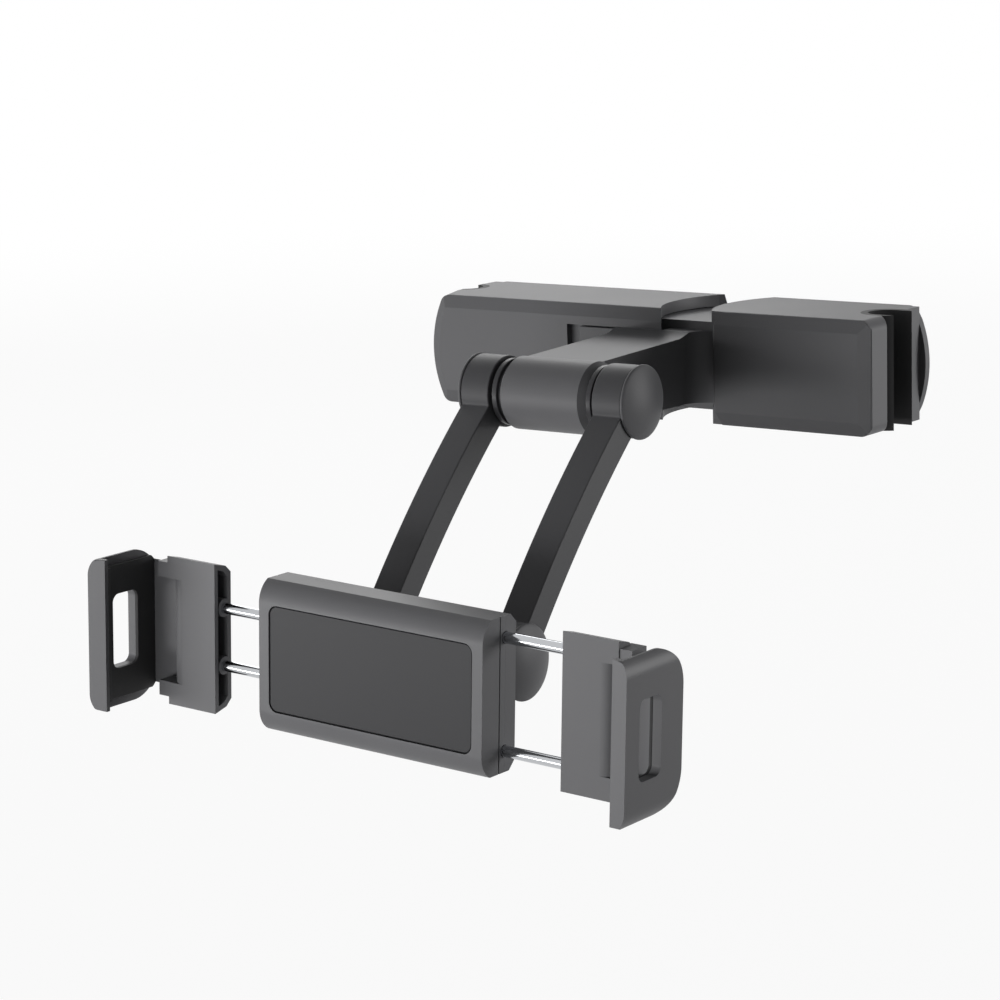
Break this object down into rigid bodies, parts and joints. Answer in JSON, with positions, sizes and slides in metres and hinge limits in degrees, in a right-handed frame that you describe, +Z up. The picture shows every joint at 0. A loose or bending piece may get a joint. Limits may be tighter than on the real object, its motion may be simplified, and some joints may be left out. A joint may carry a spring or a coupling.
{
  "type": "headrest tablet mount",
  "caption": "Clamp bar that spreads between two headrest posts, with a short arm, hinged arched links and a sprung tablet holder on a ball joint.",
  "frame": {"origin": "axis of the left headrest post at mid height of the clamp bar", "axes": "+X along the clamp bar to the right post, +Y back towards the seat, +Z up along the posts; the holder faces -Y"},
  "size_m": [0.2156, 0.2272, 0.1295],
  "materials": {
    "cover_grey": "fine matt",
    "housing_grey": "fine matt",
    "link_dark": "fine matt",
    "holder_grey": "fine matt",
    "plate_dark": "satin",
    "slider_dark": "fine matt",
    "washer_dark": "satin",
    "liner_white": "natural",
    "rubber_black": "matt",
    "rod_chrome": "polished",
    "steel": "plain",
    "screw_black": "black oxide"
  },
  "bodies": {
    "clamp": {"left_front_cover": "cover_grey", "left_housing": "housing_grey", "left_rear_cover": "cover_grey", "left_post_liner": "rubber_black", "left_cover_screws": "screw_black", "core_rail": "housing_grey", "core_screws": "steel", "arm": "housing_grey", "arm_screws": "steel", "slider_spring": "steel", "upper_washers": "washer_dark"},
    "slider": {"release_slider": "slider_dark", "brake_shoe": "rubber_black"},
    "right_unit": {"right_front_cover": "cover_grey", "right_housing": "housing_grey", "right_rear_cover": "cover_grey", "right_post_liner": "rubber_black", "right_cover_screws": "screw_black", "slide_rail": "steel"},
    "links": {"left_link": "link_dark", "right_link": "link_dark", "upper_axle": "steel", "lower_axle": "steel", "upper_caps": "cover_grey", "lower_caps": "cover_grey"},
    "knuckle": {"tilt_block": "link_dark", "lower_washers": "washer_dark", "ball_stud": "steel"},
    "liner_ring": {"ball_ring": "liner_white"},
    "liner_cup": {"ball_cup": "liner_white"},
    "holder": {"collar_nut": "washer_dark", "holder_front_shell": "holder_grey", "holder_rear_shell": "holder_grey", "face_plate": "plate_dark", "holder_screws": "screw_black", "left_jaw_springs": "steel", "right_jaw_springs": "steel"},
    "left_jaw": {"left_jaw": "holder_grey", "left_rods": "rod_chrome", "left_rod_clips": "steel", "left_jaw_liner": "rubber_black"},
    "right_jaw": {"right_jaw": "holder_grey", "right_rods": "rod_chrome", "right_rod_clips": "steel", "right_jaw_liner": "rubber_black"}
  },
  "joints": [
    {"name": "slider_travel", "type": "slide", "parent": "clamp", "child": "slider", "axis": [1, 0, 0], "range_m": [-0.0045, 0], "stiffness_N_per_m": 300, "springref_m": 0.004, "deforming": ["slider_spring"]},
    {"name": "clamp_width", "type": "slide", "parent": "clamp", "child": "right_unit", "axis": [1, 0, 0], "range_m": [-0.006, 0.02]},
    {"name": "upper_hinge", "type": "hinge", "parent": "clamp", "child": "links", "pos_m": [0.099, -0.0822, -0.003], "axis": [1, 0, 0], "range_deg": [-100, 40]},
    {"name": "lower_hinge", "type": "hinge", "parent": "links", "child": "knuckle", "pos_m": [0.099, -0.15282, -0.07742], "axis": [1, 0, 0], "range_deg": [-32, 100]},
    {"name": "ball_pitch", "type": "hinge", "parent": "knuckle", "child": "liner_ring", "pos_m": [0.099, -0.17003, -0.07842], "axis": [1, 0, 0], "range_deg": [-10, 10]},
    {"name": "ball_yaw", "type": "hinge", "parent": "liner_ring", "child": "liner_cup", "pos_m": [0.099, -0.17003, -0.07842], "axis": [0, 0, 1], "range_deg": [-8, 8]},
    {"name": "holder_spin", "type": "hinge", "parent": "liner_cup", "child": "holder", "pos_m": [0.099, -0.17003, -0.07842], "axis": [0, 1, 0], "continuous": true},
    {"name": "left_jaw_travel", "type": "slide", "parent": "holder", "child": "left_jaw", "axis": [-0.9989, 0, 0.0461], "range_m": [-0.0245, 0.008], "stiffness_N_per_m": 200, "springref_m": -0.045, "deforming": ["left_jaw_springs"]},
    {"name": "right_jaw_travel", "type": "slide", "parent": "holder", "child": "right_jaw", "axis": [0.9989, 0, -0.0461], "range_m": [-0.0245, 0.008], "stiffness_N_per_m": 200, "springref_m": -0.045, "deforming": ["right_jaw_springs"]}
  ]
}
